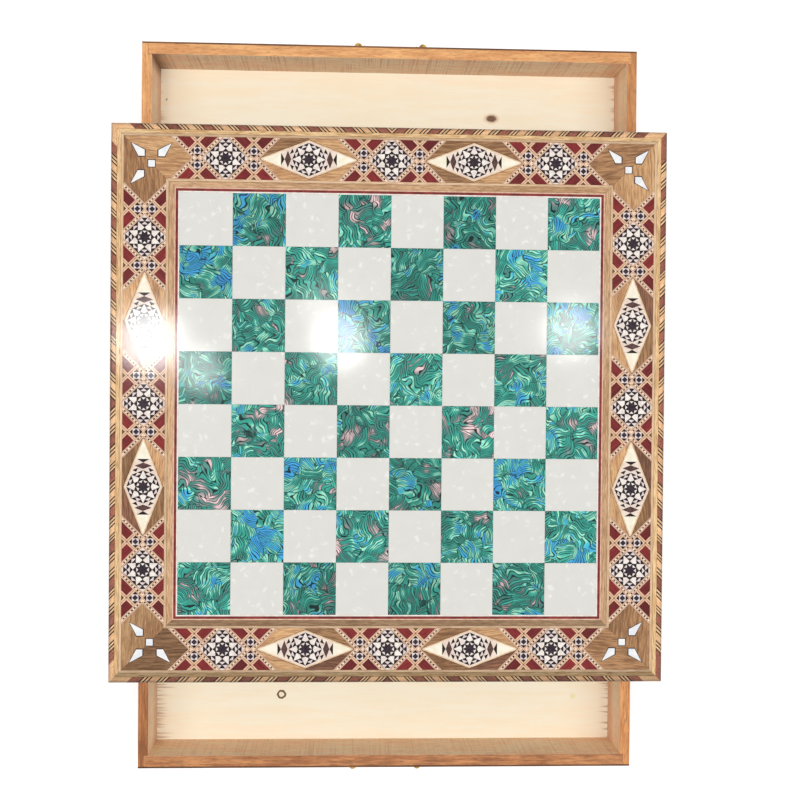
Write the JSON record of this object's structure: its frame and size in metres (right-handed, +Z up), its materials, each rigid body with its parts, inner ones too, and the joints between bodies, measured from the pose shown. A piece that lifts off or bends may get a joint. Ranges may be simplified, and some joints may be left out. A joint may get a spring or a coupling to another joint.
{
  "type": "chess box with drawers",
  "caption": "Inlaid chess board on a low wooden box, with a shallow drawer on each of two opposite sides, each with a brass drop pull.",
  "frame": {"origin": "middle of the underside of the case, where it meets the table", "axes": "+Z up through the playing field; +Y towards the rear drawer, so the front drawer opens along -Y; +X to the right when the front drawer faces the viewer"},
  "size_m": [0.4, 0.5469, 0.074],
  "materials": {
    "core_wood": "plain sanded wood",
    "walnut": "walnut under gloss lacquer",
    "walnut_dark": "dark walnut under gloss lacquer",
    "light_wood": "light straight-grained wood under gloss lacquer",
    "rope_banding": "slanted light and brown sticks under gloss lacquer",
    "cream_wood": "pale stringing under gloss lacquer",
    "red_wood": "red-stained wood under gloss lacquer",
    "dark_wood": "near-black wood under gloss lacquer",
    "bone": "ivory-coloured bone substitute under gloss lacquer",
    "pearl": "white pearl with brighter flakes, under gloss lacquer",
    "abalone": "green and blue swirled shell, under gloss lacquer",
    "drawer_wood": "stained beech, sawn inside and sanded on the rim",
    "pine": "raw pine with knots",
    "brass": "dulled brass"
  },
  "bodies": {
    "case": {"base_panel": "core_wood", "side_left": "core_wood", "side_right": "core_wood", "center_divider": "core_wood", "rail_front": "core_wood", "rail_rear": "core_wood", "top_board": "core_wood", "veneer_left": "walnut", "veneer_right": "walnut", "veneer_front": "walnut", "veneer_rear": "walnut", "foot_banding": "rope_banding", "rope_front": "rope_banding", "rope_rear": "rope_banding", "rope_left": "rope_banding", "rope_right": "rope_banding", "edge_strips": "light_wood", "outer_line": "cream_wood", "inner_line": "cream_wood", "walnut_strips": "walnut", "walnut_line": "cream_wood", "red_stringing": "red_wood", "white_line": "bone", "corner_blocks_front_rear": "walnut", "corner_blocks_left_right": "walnut", "corner_pearls": "pearl", "dotted_strips": "cream_wood", "plain_strips": "cream_wood", "dark_triangles": "dark_wood", "red_inlays": "red_wood", "eye_diamonds": "dark_wood", "star_panels": "dark_wood", "band_stars": "bone", "star_cores": "dark_wood", "lozenge_panels": "dark_wood", "lozenge_stars": "bone", "lozenge_ends": "bone", "lozenge_diamonds": "walnut_dark", "ground_light": "walnut", "ground_dark": "walnut_dark", "pearl_tiles": "pearl", "abalone_tiles": "abalone"},
    "front_drawer": {"front_drawer_facing": "walnut_dark", "front_drawer_front": "drawer_wood", "front_drawer_left": "drawer_wood", "front_drawer_right": "drawer_wood", "front_drawer_back": "drawer_wood", "front_drawer_bottom": "pine", "front_pull_posts": "brass"},
    "rear_drawer": {"rear_drawer_facing": "walnut_dark", "rear_drawer_front": "drawer_wood", "rear_drawer_left": "drawer_wood", "rear_drawer_right": "drawer_wood", "rear_drawer_back": "drawer_wood", "rear_drawer_bottom": "pine", "rear_pull_posts": "brass"},
    "front_bail": {"front_bail": "brass"},
    "rear_bail": {"rear_bail": "brass"}
  },
  "joints": [
    {"name": "front_drawer_slide", "type": "slide", "parent": "case", "child": "front_drawer", "axis": [0, -1, 0], "range_m": [-0.0684, 0.0816]},
    {"name": "rear_drawer_slide", "type": "slide", "parent": "case", "child": "rear_drawer", "axis": [0, 1, 0], "range_m": [-0.0641, 0.0859]},
    {"name": "front_bail_swing", "type": "hinge", "parent": "front_drawer", "child": "front_bail", "pos_m": [0, -0.2726, 0.0323], "axis": [-1, 0, 0], "range_deg": [-14, 194]},
    {"name": "rear_bail_swing", "type": "hinge", "parent": "rear_drawer", "child": "rear_bail", "pos_m": [0, 0.2683, 0.0323], "axis": [1, 0, 0], "range_deg": [-14, 194]}
  ]
}
